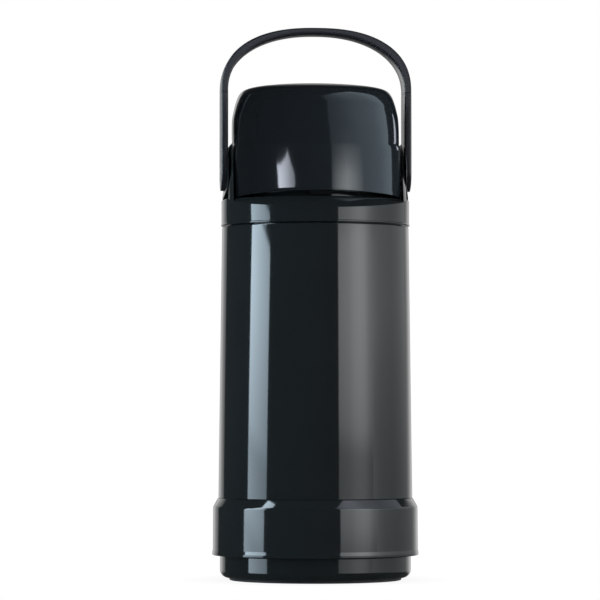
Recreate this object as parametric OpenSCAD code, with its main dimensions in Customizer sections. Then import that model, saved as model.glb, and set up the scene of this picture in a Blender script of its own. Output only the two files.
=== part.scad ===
// Thermal carafe with a glass liner, a screw stopper, a rear-hinged flip lid and a swinging bail handle.
// Millimetres. Origin at the middle of the face that it stands on, +Z up, the front towards -Y.

/* [Body] */
// Radius of the tapered body where it leaves the base
body_r_low = 59.95; // [59.4:0.05:60.2]
// Radius of the tapered body under the collar
body_r_high = 57.85; // [57.5:0.05:58.1]
// Height of the seam between the body and the collar
seam_z = 218.7; // [218:0.1:219.5]
// Wall of the body shell
body_wall = 2.6; // [2.2:0.1:2.8]

/* [Base] */
// Radius of the grip ring round the base, at its lower edge
base_r = 63.4; // [62.8:0.05:63.8]
// How much narrower the grip ring is at its upper edge
base_draft = 0.5; // [0.2:0.1:0.8]
// Height of the top of the grip ring
base_top_z = 50.6; // [48:0.2:54]
// Height of the lip under the grip ring
base_lip_z = 15.5; // [14:0.5:17]
// Radius of the foot below the lip
foot_r = 59; // [58.4:0.1:59.4]

/* [Glass liner] */
// Outer radius of the outer glass wall
liner_r = 49.5; // [48.5:0.1:49.8]
// Distance between the outer faces of the two glass walls
liner_gap = 4.2; // [4:0.1:5]
// Thickness of the glass
glass_t = 1.2; // [1:0.1:1.4]
// Height of the glass rim
rim_z = 250; // [249:0.5:250]

/* [Collar and ears] */
// Outer radius of the collar
collar_r = 58.2; // [57.9:0.1:58.4]
// Height of the collar's top face
collar_top = 234.7; // [234.4:0.1:235]
// Radius of the lid's front panel, seen from above
panel_r = 62.2; // [60:0.2:64]
// Distance from the axis to the lid's front panel
panel_y = 49.5; // [49:0.1:49.6]

/* [Lid] */
// Half width between the lid's flat sides
lid_half = 51.9; // [51.4:0.1:52]
// Height of the middle of the lid's top
lid_top = 307.6; // [306.6:0.2:308]
// Wall of the lid
lid_wall = 2.4; // [2:0.1:2.6]
// Width of the thumb catch
catch_w = 15; // [12:1:20]
// Distance from the carafe's axis back to the hinge axis
hinge_y = 51.8; // [51.6:0.1:52]

/* [Bail handle] */
// Height of the bail's pivots
pivot_z = 252; // [251:0.5:252.5]
// Half width over the outside of the bail's arms
bail_half = 58.95; // [58.85:0.05:59.4]
// Height of the top of the bail
bail_top = 341.7; // [341:0.1:344]
// Thickness of the bail's strap
strap_t = 4.1; // [3.9:0.1:4.1]
// Width of the bail's strap at its arms
strap_w = 23; // [20:0.5:24]
// Width of the bail's strap at its crown
crown_w = 16; // [14:0.5:17]

/* [Stopper] */
// Rise of the stopper in one turn
thread_lead = 6; // [5:0.5:6]
// Number of grip flutes round the stopper's knob
flutes = 16; // [12:1:18]

/* [Hidden] */
$fn = 96;
fit = 0.05; // running clearance on the radius
slip = 0.1; // clearance of parts that are put together once
snug = 0.02; // clearance round a pin that stays in its hole
join = 0.5; // how far shapes of one piece run into each other

foot_ring_in = 45.5;
foot_ring_out = 53.2;
foot_ring_h = 3.5;
base_bottom = 1.5;
floor_z = 6.2;
tail_r = body_r_low - 1.35;
tail_bottom = 20;
spigot_r = 54.9;
spigot_top = seam_z + 6.4;
snap_z = seam_z + 3.4;

plate_z = collar_top - 3;
neck_hole_r = 26;
upstand_r = 42.5;
upstand_top = collar_top + 6;
bead_r = collar_r + 0.25;

// The lid's front panel is an arc whose middle lies behind the carafe's axis.
panel_c = panel_r - panel_y;
rear_y = 47;
rear_c = panel_r - rear_y;
ledge_slope = 0.83;
ledge_reach = collar_r - panel_y + 1;

hinge_z = collar_top + 4;
knuckle_r = 3;
hinge_pin_r = 1.5;
knuckle_half = 7.9;
hinge_half = 17;

ear_in = 52.35;
ear_out = 54.7;
ear_low = collar_top - 2.5;
ear_top = 269.6;
ear_shoulder = 267.2;
arm_in = bail_half - strap_t;
eye_r = 17;
eye_t = 0.6;
cheek_r = collar_r - 0.3;
cheek_taper = 0.11;
arch_z = 302;
arch_power = 2.4;
arch_power_inside = 2.2;
pin_r = 2;
pin_head_r = 3.2;

neck_r = 22.5;
bore_r = neck_r - liner_gap - glass_t + 1.5;
gasket_z = rim_z + 2;
shelf_top = gasket_z + 2.5;
thread_bore_r = 21.6;
thread_core_r = 19.8;
thread_z = shelf_top + 3.4;
lip_z = shelf_top + 12.5;
spout_top = 271.5;
plug_r = 17.2;
shoulder_z = shelf_top + 2;
knob_z = 268.6;
knob_top = 287;

function arc_points(c, r, a0, a1, n) =
    [for (i = [0:n]) let (a = a0 + (a1 - a0) * i / n) [c[0] + r * cos(a), c[1] + r * sin(a)]];

// Section of one glass wall from the bottom of its axis up to the rim: a deep bowl, a straight side,
// a domed shoulder and a short sweep into the neck.
liner_low = 44;
liner_high = 196;
bowl_h = 30;
dome_h = 28;
neck_sweep = 4;
sweep_rise = 5;
function wall_section(inset, neck, top) =
    let (r = liner_r - inset, bowl = bowl_h - inset, dome = dome_h - inset, r0 = neck + neck_sweep)
    let (a_neck = acos(r0 / r), z0 = liner_high + dome * sin(a_neck))
    let (slope = dome * cos(a_neck) / (r * sin(a_neck)), z1 = z0 + neck_sweep * slope)
    concat(
        [for (i = [0:14]) let (a = -90 + 90 * i / 14) [r * cos(a), liner_low + bowl * sin(a)]],
        [for (i = [0:12]) let (a = a_neck * i / 12) [r * cos(a), liner_high + dome * sin(a)]],
        [for (i = [1:5]) let (t = i / 5)
            [neck + neck_sweep * pow(1 - t, 2), z0 * pow(1 - t, 2) + 2 * t * (1 - t) * z1
                + t * t * (z1 + sweep_rise)]],
        [[neck, top]]
    );
function reversed(points) = [for (i = [len(points) - 1:-1:0]) points[i]];

// A ring of a given section; the section is a closed list of radius and height.
module turned(points) {
    rotate_extrude() polygon(points);
}

// A box given by its two opposite corners.
module block(low, high) {
    translate(low) cube(high - low);
}

// A cylinder along X between two places.
module rod(x0, x1, r, y, z) {
    translate([x0, y, z]) rotate([0, 90, 0]) cylinder(r = r, h = x1 - x0);
}

module both_sides() {
    children();
    mirror([1, 0, 0]) children();
}

module body_shell() {
    inner_low = body_r_low - body_wall;
    edge = 1.2;
    color("#1c2026") difference() {
        turned(concat(
            [[tail_r - body_wall, tail_bottom], [tail_r, tail_bottom], [tail_r, base_top_z],
             [body_r_low, base_top_z + 0.1]],
            arc_points([body_r_high - edge, seam_z - 0.6 - edge], edge, 0, 90, 4),
            [[spigot_r, seam_z - 0.6], [spigot_r, snap_z - 0.7], [spigot_r + 0.4, snap_z - 0.2],
             [spigot_r + 0.4, snap_z + 0.2], [spigot_r, snap_z + 0.7], [spigot_r, spigot_top],
             [spigot_r - 2, spigot_top], [spigot_r - 2, seam_z - 6],
             [body_r_high - body_wall, seam_z - 11], [inner_low - 0.1, base_top_z + 4],
             [tail_r - body_wall, base_top_z - 2]]
        ));
        for (a = [30, 150, 270]) rotate([0, 0, a]) {
            block([tail_r - 5, -6, tail_bottom - 1], [tail_r + 1, 6, tail_bottom + 7.6]);
            block([tail_r - 9, 4, tail_bottom + 3.4], [tail_r + 1, 18, tail_bottom + 7.6]);
        }
    }
}

module base_cap() {
    corner = 5;
    color("#1a1d22") {
        turned(concat(
            [[0, floor_z], [0, floor_z - 2.4], [foot_ring_in - 2, floor_z - 2.4],
             [foot_ring_in - 1.2, base_bottom + 0.3], [foot_ring_in - slip, base_bottom + 0.3],
             [foot_ring_in - slip, foot_ring_h], [foot_ring_out + slip, foot_ring_h],
             [foot_ring_out + slip, base_bottom]],
            arc_points([foot_r - corner, base_bottom + corner], corner, -88, 0, 10),
            [[foot_r, base_lip_z], [base_r + 0.35, base_lip_z], [base_r + 0.35, base_lip_z + 2],
             [base_r, base_lip_z + 2.8], [base_r - base_draft, base_top_z - 5.2],
             [body_r_low + 0.1, base_top_z - 0.1],
             [tail_r + slip, base_top_z - 0.1], [tail_r + slip, tail_bottom - 0.5],
             [foot_r - 2.8, tail_bottom - 0.5], [foot_r - 2.8, floor_z + 2], [foot_r - 4.8, floor_z]]
        ));
        for (a = [42, 162, 282]) rotate([0, 0, a])
            block([tail_r - 2.2, -4, tail_bottom + 4.2], [tail_r + 1.4, 4, tail_bottom + 6.8]);
    }
}

module foot_ring() {
    color("#303338") turned([
        [foot_ring_in, 0.6], [foot_ring_in + 0.6, 0], [foot_ring_out - 0.6, 0], [foot_ring_out, 0.6],
        [foot_ring_out, foot_ring_h], [foot_ring_in, foot_ring_h]
    ]);
}

module liner_support() {
    ring_in = 27;
    ring_out = 43;
    touch_r = 35;
    t = touch_r / liner_r;
    touch_z = liner_low - bowl_h * sqrt(1 - t * t) - fit;
    slope = bowl_h * t / (liner_r * sqrt(1 - t * t));
    color("#3a3a3c") turned([
        [ring_in, floor_z], [ring_out + 2, floor_z], [ring_out + 2, floor_z + 5],
        [ring_out, floor_z + 6], [ring_out, touch_z + slope * (ring_out - touch_r)],
        [ring_in, touch_z + slope * (ring_in - touch_r)]
    ]);
}

module liner_outer_wall() {
    outer = wall_section(0, neck_r, rim_z - 3);
    inner = wall_section(glass_t, neck_r - glass_t, rim_z - 3);
    color("#c9ced3") {
        turned(concat(outer, reversed(inner)));
        translate([0, 0, liner_low - bowl_h - 4]) cylinder(r1 = 1.2, r2 = 3, h = 4.6, $fn = 24);
    }
}

module liner_inner_wall() {
    outer = wall_section(liner_gap, neck_r - liner_gap + 1.5, rim_z - 3);
    inner = wall_section(liner_gap + glass_t, bore_r, rim_z);
    color("#dfe3e6") turned(concat(
        outer,
        [[neck_r, rim_z - 3], [neck_r, rim_z - 0.8], [neck_r - 0.8, rim_z]],
        reversed(inner)
    ));
}

// Three small pads that hold the two glass walls apart.
module liner_spacers() {
    color("#b9a98c") for (a = [90, 210, 330]) rotate([0, 0, a]) intersection() {
        turned([
            [liner_r - liner_gap + fit, 60], [liner_r - glass_t - fit, 60],
            [liner_r - glass_t - fit, 76], [liner_r - liner_gap + fit, 76]
        ]);
        block([40, -5, 60], [50, 5, 76]);
    }
}

module neck_gasket() {
    color("#8d9196") turned([
        [bore_r + 0.6, rim_z], [neck_r, rim_z], [neck_r, gasket_z], [bore_r + 0.6, gasket_z]
    ]);
}

// Ring that sits on the glass rim, is held under the collar and carries the stopper's thread lugs.
module neck_ring() {
    sleeve_r = neck_r + 0.6;
    color("#24272c") {
        turned([
            [sleeve_r, 226], [neck_hole_r - 0.6, 226], [neck_hole_r - 0.1, plate_z - 3.5], [33, plate_z - 3],
            [33, plate_z], [neck_hole_r - slip, plate_z], [neck_hole_r - slip, lip_z - 3],
            [31, spout_top - 0.8], [31, spout_top], [29.6, spout_top], [thread_bore_r, lip_z],
            [thread_bore_r, shelf_top], [bore_r + 0.4, shelf_top], [bore_r + 0.4, gasket_z],
            [sleeve_r, gasket_z]
        ]);
        for (side = [0, 1]) rotate([0, 0, 90 + 180 * side])
            translate([0, 0, thread_z + thread_lead * (0.75 + 0.5 * side)])
                block([thread_core_r + 0.5, -4, -1.1], [thread_bore_r + join, 4, 1.1]);
    }
}

// The collar's solid before its front ledge is cut: skirt, top plate and the upstand inside the lid.
module collar_ring() {
    turned([
        [spigot_r + slip, seam_z], [bead_r - 0.4, seam_z], [bead_r, seam_z + 0.5], [collar_r, seam_z + 1.2],
        [collar_r, collar_top - 0.3], [collar_r - 0.3, collar_top], [upstand_r, collar_top],
        [upstand_r, upstand_top - 0.4], [upstand_r - 0.4, upstand_top], [upstand_r - 2.2, upstand_top],
        [upstand_r - 2.6, collar_top], [neck_hole_r, collar_top], [neck_hole_r, plate_z],
        [panel_y - 2.4, plate_z],
        [spigot_r + slip, plate_z - ledge_slope * (spigot_r + slip - panel_y + 2.4)],
        [spigot_r + slip, snap_z + 0.8], [spigot_r + 0.55, snap_z + 0.3],
        [spigot_r + 0.55, snap_z - 0.3], [spigot_r + slip, snap_z - 0.8]
    ]);
}

// What the front ledge takes off the collar: all that stands above a cone round the lid's front panel.
module ledge_cut() {
    drop = ledge_reach * ledge_slope;
    difference() {
        block([-70, -80, collar_top - drop], [70, -12, collar_top + 1]);
        translate([0, panel_c, collar_top - drop])
            cylinder(r1 = panel_r + ledge_reach, r2 = panel_r, h = drop);
        translate([0, panel_c, collar_top - join]) cylinder(r = panel_r, h = 3);
    }
}

// The cone round the carafe's axis that carries the collar's outside on up the ears and the bail's eyes.
module cheek_cone() {
    h = ear_top + 1 - ear_low;
    low_r = cheek_r + (collar_top - ear_low) * cheek_taper;
    translate([0, 0, ear_low]) cylinder(r1 = low_r, r2 = low_r - h * cheek_taper, h = h);
}

// A cheek beside the lid: its inner and outer sides are flat, its front and rear edges lie on the cone.
module ear() {
    half = cheek_r;
    difference() {
        intersection() {
            translate([0, half, 0]) rotate([90, 0, 0]) linear_extrude(2 * half) polygon([
                [ear_in, ear_low], [ear_out, ear_low], [ear_out, ear_shoulder], [ear_in, ear_top]
            ]);
            cheek_cone();
        }
        rod(ear_in - 1, ear_out + 1, pin_r + snug, 0, pivot_z);
    }
}

module collar() {
    color("#1e2228") {
        difference() {
            collar_ring();
            ledge_cut();
        }
        both_sides() ear();
        both_sides() difference() {
            union() {
                rod(knuckle_half + 0.3, hinge_half, knuckle_r, hinge_y, hinge_z);
                block([knuckle_half + 0.3, hinge_y - knuckle_r, collar_top - 1],
                      [hinge_half, hinge_y + knuckle_r - 0.6, hinge_z]);
            }
            rod(knuckle_half - 1, hinge_half + 1, hinge_pin_r + snug, hinge_y, hinge_z);
        }
    }
}

module hinge_pin() {
    color("#9aa0a6") rod(-hinge_half, hinge_half, hinge_pin_r, hinge_y, hinge_z);
}

// Levels of the lid's closed form: height, how far the side, the front and the rear stand in, and how
// crisp the upright corners are. The front leans back. At the shoulder the corners step in and get
// rounder, and from there the sides and the front round over into a low dome.
lid_low = collar_top + 0.3;
lid_shoulder = 266.6;
lid_levels = [
    [lid_low, 0, 0, 0, 30], [252, 0, 0.7, 0, 30], [lid_shoulder, 0, 2.2, 0, 30],
    [lid_shoulder + 1.8, -0.3, 2.6, 0.1, 16], [278, -0.5, 5, 0.3, 16], [285, -0.3, 7.4, 0.6, 16],
    [290, 0.3, 9.3, 1.6, 14], [295, 1.2, 11.3, 3, 12], [lid_top - 8, 2.9, 14.4, 5.4, 11],
    [lid_top - 5.2, 5.2, 17.8, 8.6, 10], [lid_top - 3.5, 9.6, 22.2, 13, 9], [lid_top - 2.2, 17, 28.5, 20, 8]
];
top_middle = 2;

// Distance from the axis to the lid's outline in direction a: the side, the front arc and the rear arc
// blended so that their corners are rounded.
function lid_reach(a, level, inset) =
    let (r = panel_r - inset, front = panel_c + level[2], rear = rear_c + level[3], p = level[4])
    let (side = (lid_half - level[1] - inset) / max(abs(cos(a)), 0.001))
    let (ahead = front * sin(a) + sqrt(r * r - pow(front * cos(a), 2)))
    let (behind = -rear * sin(a) + sqrt(r * r - pow(rear * cos(a), 2)))
    pow(pow(side, -p) + pow(ahead, -p) + pow(behind, -p), -1 / p);

// The bottom edge rises towards the middle of the front.
function edge_rise(y) = max(0, -y - 17) * edge_slope;
edge_slope = 0.1;

function lid_ring(level, inset, n, rise) =
    [for (i = [0:n - 1]) let (a = 360 * (i + 0.5) / n, r = lid_reach(a, level, inset))
        let (x = r * cos(a), y = r * sin(a))
        [x, y, level[0] + rise * edge_rise(y)]];

// A cup that hangs from the lid's top: outer faces, inner faces and the flat edge between them.
module lid_cup(outer_inset, inner_inset, low, n) {
    count = len(lid_levels);
    function placed(level, inset) = [level[0] - (level[0] > 280 ? inset : 0), level[1], level[2], level[3],
        level[4]];
    function lowered(level) = [low, level[1], level[2], level[3], level[4]];
    function cup_side(inset) = concat(
        lid_ring(lowered(lid_levels[0]), inset, n, 1),
        [for (i = [1:count - 1]) each lid_ring(placed(lid_levels[i], inset), inset, n, 0)]);
    outer = cup_side(outer_inset);
    inner = cup_side(inner_inset);
    outer_apex = 2 * count * n;
    inner_apex = outer_apex + 1;
    start = count * n;
    last = (count - 1) * n;
    faces = [for (i = [0:n - 1]) let (k = (i + 1) % n) each concat(
        [for (j = [0:count - 2]) let (p = j * n) each [
            [p + i, p + n + i, p + n + k], [p + i, p + n + k, p + k],
            [start + p + i, start + p + n + k, start + p + n + i],
            [start + p + i, start + p + k, start + p + n + k]
        ]],
        [[last + i, outer_apex, last + k], [start + last + i, start + last + k, inner_apex],
         [i, k, start + k], [i, start + k, start + i]]
    )];
    polyhedron(concat(outer, inner, [[0, top_middle, lid_top - outer_inset],
        [0, top_middle, lid_top - inner_inset]]), faces, convexity = 6);
}

module lid_shell() {
    color("#1b2027") {
        lid_cup(0, lid_wall, lid_low, 72);
        difference() {
            union() {
                rod(-knuckle_half, knuckle_half, knuckle_r, hinge_y, hinge_z);
                block([-knuckle_half, rear_y - lid_wall + 0.8, hinge_z - 3],
                      [knuckle_half, hinge_y, hinge_z + knuckle_r]);
            }
            rod(-knuckle_half - 1, knuckle_half + 1, hinge_pin_r + fit, hinge_y, hinge_z);
        }
    }
}

module lid_liner() {
    skin = 1.4;
    step = lid_wall + 0.8;
    color("#2b2f35") lid_cup(step, step + skin, upstand_top + 2, 48);
}

// Thumb catch under the middle of the lid's front edge, on a leaf behind the panel.
module lid_catch() {
    leaf_y = panel_y - lid_wall - 1;
    nose_y = panel_y - 0.5;
    low = collar_top + 1;
    color("#22262c") translate([-catch_w / 2, 0, 0]) rotate([90, 0, 90]) linear_extrude(catch_w) polygon([
        [-nose_y, low], [1.5 - leaf_y, low], [1.5 - leaf_y, low + 8.5], [-leaf_y, low + 8.5],
        [-leaf_y, low + 2.2], [-nose_y, low + 2.2]
    ]);
}

// Outline of the bail seen from the front, from one pivot over the arch to the other.
function arch_points(half, top, power, n) = [for (i = [0:n]) let (a = 180 * i / n)
    [half * sign(cos(a)) * pow(abs(cos(a)), 2 / power),
     arch_z + (top - arch_z) * pow(abs(sin(a)), 2 / power)]];

// Outline of the bail seen from the side: the arms narrow towards the crown.
module bail_side() {
    rise = bail_top - arch_z;
    taper = [for (i = [0:6]) let (t = i / 6)
        [(strap_w + (crown_w - strap_w) * t * t * (3 - 2 * t)) / 2, arch_z - 12 + (rise + 12) * t]];
    polygon(concat(
        [[strap_w / 2, pivot_z - 1]], taper, [[crown_w / 2, bail_top + 1], [-crown_w / 2, bail_top + 1]],
        reversed([for (p = taper) [-p[0], p[1]]]), [[-strap_w / 2, pivot_z - 1]]
    ));
}

module bail_handle() {
    color("#202329") difference() {
        union() {
            intersection() {
                translate([0, strap_w, 0]) rotate([90, 0, 0]) linear_extrude(2 * strap_w) polygon(concat(
                    [[bail_half, pivot_z]], arch_points(bail_half, bail_top, arch_power, 60),
                    [[-bail_half, pivot_z], [-arm_in, pivot_z]],
                    reversed(arch_points(arm_in, bail_top - strap_t, arch_power_inside, 60)),
                    [[arm_in, pivot_z]]
                ));
                translate([-bail_half - 1, 0, 0]) rotate([90, 0, 90])
                    linear_extrude(2 * bail_half + 2) bail_side();
            }
            both_sides() {
                rod(arm_in, bail_half, strap_w / 2, 0, pivot_z);
                rod(arm_in, arm_in + eye_t, eye_r, 0, pivot_z);
                intersection() {
                    rod(arm_in, bail_half, eye_r, 0, pivot_z);
                    cheek_cone();
                }
            }
        }
        both_sides() {
            rod(arm_in - 1, bail_half + 1, pin_r + fit, 0, pivot_z);
            rod(bail_half - 1, bail_half + 1, pin_head_r + 0.2, 0, pivot_z);
        }
    }
}

module pivot_pin() {
    rod(ear_in, bail_half - 0.9, pin_r, 0, pivot_z);
    rod(bail_half - 0.9, bail_half + 0.4, pin_head_r, 0, pivot_z);
}

module pivot_pin_left() {
    color("#8f959b") mirror([1, 0, 0]) pivot_pin();
}

module pivot_pin_right() {
    color("#8f959b") pivot_pin();
}

// One turn of thread ridge whose middle starts at height z.
module thread_ridge(z) {
    steps = 48;
    root = thread_core_r - 0.3;
    tip = thread_bore_r - 0.3;
    section = [[root, -1.2], [tip, -0.6], [tip, 0.6], [root, 1.2]];
    points = [for (i = [0:steps], p = section) let (a = 360 * i / steps)
        [p[0] * cos(a), p[0] * sin(a), z + thread_lead * i / steps + p[1]]];
    sides = [for (i = [0:steps - 1], j = [0:3]) let (k = (j + 1) % 4)
        each [[4 * i + j, 4 * i + k, 4 * i + 4 + k], [4 * i + j, 4 * i + 4 + k, 4 * i + 4 + j]]];
    last = 4 * steps;
    polyhedron(points, concat(sides, [[0, 3, 2], [0, 2, 1], [last, last + 1, last + 2],
        [last, last + 2, last + 3]]), convexity = 6);
}

module stopper_body() {
    color("#2a2d32") {
        turned([
            [0, 224], [plug_r - 1.5, 224], [plug_r, 226], [plug_r, shoulder_z], [thread_core_r, shoulder_z],
            [thread_core_r, knob_z + 3], [thread_core_r - 2.4, knob_z + 3],
            [plug_r - 2, shoulder_z + 1], [plug_r - 2, 226.4], [0, 226.4]
        ]);
        thread_ridge(thread_z);
    }
}

module stopper_foam() {
    color("#e4dfd2") translate([0, 0, 226.6]) cylinder(r = plug_r - 2.2, h = 28);
}

module stopper_knob() {
    outer = 23;
    inner = thread_core_r + slip;
    color("#25292f") difference() {
        turned(concat(
            [[inner, knob_z], [outer, knob_z]],
            arc_points([outer - 3, knob_top - 3], 3, 0, 90, 5),
            [[0, knob_top + 0.8], [0, knob_z + 3.1], [inner, knob_z + 3.1]]
        ));
        for (i = [0:flutes - 1]) rotate([0, 0, 360 * i / flutes])
            translate([outer + 2.2, 0, knob_z + 2]) cylinder(r = 3.4, h = 20, $fn = 24);
    }
}

module stopper_gasket() {
    color("#9b9fa4") turned([
        [plug_r + fit, shelf_top + fit], [thread_core_r + 0.3, shelf_top + fit],
        [thread_core_r + 0.3, shoulder_z], [plug_r + fit, shoulder_z]
    ]);
}

body_shell();
base_cap();
foot_ring();
liner_support();
liner_outer_wall();
liner_inner_wall();
liner_spacers();
neck_gasket();
neck_ring();
collar();
hinge_pin();
lid_shell();
lid_liner();
lid_catch();
bail_handle();
pivot_pin_left();
pivot_pin_right();
stopper_body();
stopper_foam();
stopper_knob();
stopper_gasket();
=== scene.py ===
# Looks of a black thermal carafe with a flip lid and a bail handle. Lengths are in millimetres until
# a mesh is made, which turns them into metres.
import math

import bpy
from mathutils import Matrix, Vector

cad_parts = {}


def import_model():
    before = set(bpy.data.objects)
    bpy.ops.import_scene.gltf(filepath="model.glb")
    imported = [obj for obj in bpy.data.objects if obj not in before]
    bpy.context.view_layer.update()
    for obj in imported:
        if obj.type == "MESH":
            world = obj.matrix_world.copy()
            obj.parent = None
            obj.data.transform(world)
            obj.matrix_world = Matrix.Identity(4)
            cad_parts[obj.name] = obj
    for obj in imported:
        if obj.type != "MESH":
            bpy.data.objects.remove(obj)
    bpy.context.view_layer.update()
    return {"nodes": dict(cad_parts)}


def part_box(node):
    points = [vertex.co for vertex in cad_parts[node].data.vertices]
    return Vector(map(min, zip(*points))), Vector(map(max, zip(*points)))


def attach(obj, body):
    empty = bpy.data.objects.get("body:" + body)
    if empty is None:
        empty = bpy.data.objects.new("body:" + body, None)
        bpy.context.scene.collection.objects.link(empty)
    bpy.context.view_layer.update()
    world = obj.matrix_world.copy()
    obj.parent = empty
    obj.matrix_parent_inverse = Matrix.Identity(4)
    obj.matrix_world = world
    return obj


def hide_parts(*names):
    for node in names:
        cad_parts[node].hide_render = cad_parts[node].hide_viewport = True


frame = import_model()

MM = 0.001
nodes = frame["nodes"]


def cad(node):
    """Lowest and highest corner of a CAD node, in millimetres."""
    low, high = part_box(node)
    return low / MM, high / MM


# Driving sizes, from the frame where one of its boxes gives them
LOW, HIGH = 0, 1
foot_high = cad("foot_ring")[HIGH]
base_low, base_high = cad("base_cap")
shell_low, shell_high = cad("body_shell")
collar_low = cad("collar")[LOW]
lid_high = cad("lid_shell")[HIGH]
bail_high = cad("bail_handle")[HIGH]
pin_low, pin_high = cad("pivot_pin_right")
hinge_low, hinge_high = cad("hinge_pin")
ring_high = cad("neck_ring")[HIGH]
knob_low, knob_high = cad("stopper_knob")
catch_low, catch_high = cad("lid_catch")

BASE_TOP = base_high.z
LIP_R = base_high.x
BASE_R = LIP_R - 0.35
BODY_R_LOW = shell_high.x
SEAM_Z = collar_low.z
BEAD_R = -collar_low.y
COLLAR_R = BEAD_R - 0.25
BODY_R_HIGH = COLLAR_R - 0.35
SPIGOT_R = 54.9
COLLAR_TOP = SEAM_Z + 16
PIVOT_Z = (pin_low.z + pin_high.z) / 2
BAIL_HALF = bail_high.x
BAIL_TOP = bail_high.z
HINGE_Y = (hinge_low.y + hinge_high.y) / 2
HINGE_Z = (hinge_low.z + hinge_high.z) / 2
LID_TOP = lid_high.z
LID_HALF = 51.9


# Outline helpers

def fillet(corners, steps=4):
    """Closed section whose corners (x, z, radius) are rounded by arcs; a radius of 0 keeps the corner."""
    out = []
    count = len(corners)
    for i, (x, z, radius) in enumerate(corners):
        if radius <= 0:
            out.append((x, z))
            continue
        here = Vector((x, z))
        last, next_one = corners[i - 1], corners[(i + 1) % count]
        before, after = Vector(last[:2]) - here, Vector(next_one[:2]) - here
        a, b = before.normalized(), after.normalized()
        middle = a + b
        if middle.length < 1e-3 or min(before.length, after.length) < 1e-6:
            out.extend([(x, z)] * (steps + 1))
            continue
        middle.normalize()
        side = (b - a).normalized()
        half = a.angle(b) / 2
        reach = min(radius / math.tan(half), 0.97 * before.length * radius / (radius + last[2]),
                    0.97 * after.length * radius / (radius + next_one[2]))
        centre = here + middle * (reach / math.cos(half))
        bend = reach * math.tan(half)
        for k in range(steps + 1):
            turn = (math.pi / 2 - half) * (2 * k / steps - 1)
            p = centre - middle * (bend * math.cos(turn)) + side * (bend * math.sin(turn))
            out.append((p.x, p.y))
    return out


def make(name, verts, faces, body, replaced, slot, material, sharp=32):
    """A smooth-shaded piece from points in millimetres; it rides on a body and stands for a CAD node."""
    mesh = bpy.data.meshes.new(name)
    mesh.from_pydata([Vector(v) * MM for v in verts], [], faces)
    mesh.validate()
    mesh.update()
    mesh.polygons.foreach_set("use_smooth", [True] * len(mesh.polygons))
    mesh.set_sharp_from_angle(angle=math.radians(sharp))
    piece = bpy.data.objects.new(name, mesh)
    bpy.context.scene.collection.objects.link(piece)
    mesh.materials.append(material)
    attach(piece, body)
    if replaced:
        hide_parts(replaced)
    return piece


def skin(rings, closed_section=True, closed_path=False):
    """Points and faces of a surface through rings of equal length."""
    n = len(rings[0])
    verts = [p for ring in rings for p in ring]
    faces = []
    last = len(rings) if closed_path else len(rings) - 1
    for j in range(last):
        a, b = j * n, ((j + 1) % len(rings)) * n
        for i in range(n if closed_section else n - 1):
            k = (i + 1) % n
            faces.append((a + i, a + k, b + k, b + i))
    return verts, faces


def turned(section_at, segments=192):
    """A ring whose section, a list of (radius, height), may change with the angle round the axis."""
    rings = []
    for s in range(segments):
        a = 2 * math.pi * s / segments
        rings.append([(r * math.cos(a), r * math.sin(a), z) for r, z in section_at(a)])
    return skin(rings, closed_path=True)


def joined(*parts):
    """Several (points, faces) as one."""
    verts, faces = [], []
    for part_verts, part_faces in parts:
        offset = len(verts)
        verts.extend(part_verts)
        faces.extend(tuple(i + offset for i in face) for face in part_faces)
    return verts, faces


def capped(rings):
    """A skin through rings, closed by a face at each end."""
    verts, faces = skin(rings)
    n = len(rings[0])
    faces.append(tuple(reversed(range(n))))
    faces.append(tuple(range(len(verts) - n, len(verts))))
    return verts, faces


def mirrored(part):
    """The same (points, faces) on the other side of the carafe."""
    verts, faces = part
    return [(-x, y, z) for x, y, z in verts], [tuple(reversed(face)) for face in faces]


def rod(x0, x1, radius, y, z, bevel=0.3, segments=48, dome=0.0):
    """A bevelled pin along X; dome lifts the middle of its far end."""
    soft = bevel * 0.3
    stations = [(x0, 0.01), (x0, radius - bevel), (x0 + soft, radius - soft), (x0 + bevel, radius),
                (x1 - bevel, radius), (x1 - soft, radius - soft), (x1, radius - bevel)]
    stations += [(x1 + dome * (1 - t * t), (radius - bevel) * t) for t in (0.75, 0.5, 0.25, 0.01)]
    turns = [2 * math.pi * i / segments for i in range(segments)]
    return capped([[(x, y + r * math.cos(a), z + r * math.sin(a)) for a in turns] for x, r in stations])


def slab(outline, levels):
    """A prism along X: outline(inset) gives its (y, z) points, levels are (x, inset)."""
    return capped([[(x, y, z) for y, z in outline(inset)] for x, inset in levels])


# Materials

def link(tree, a, b):
    tree.links.new(a, b)


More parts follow.
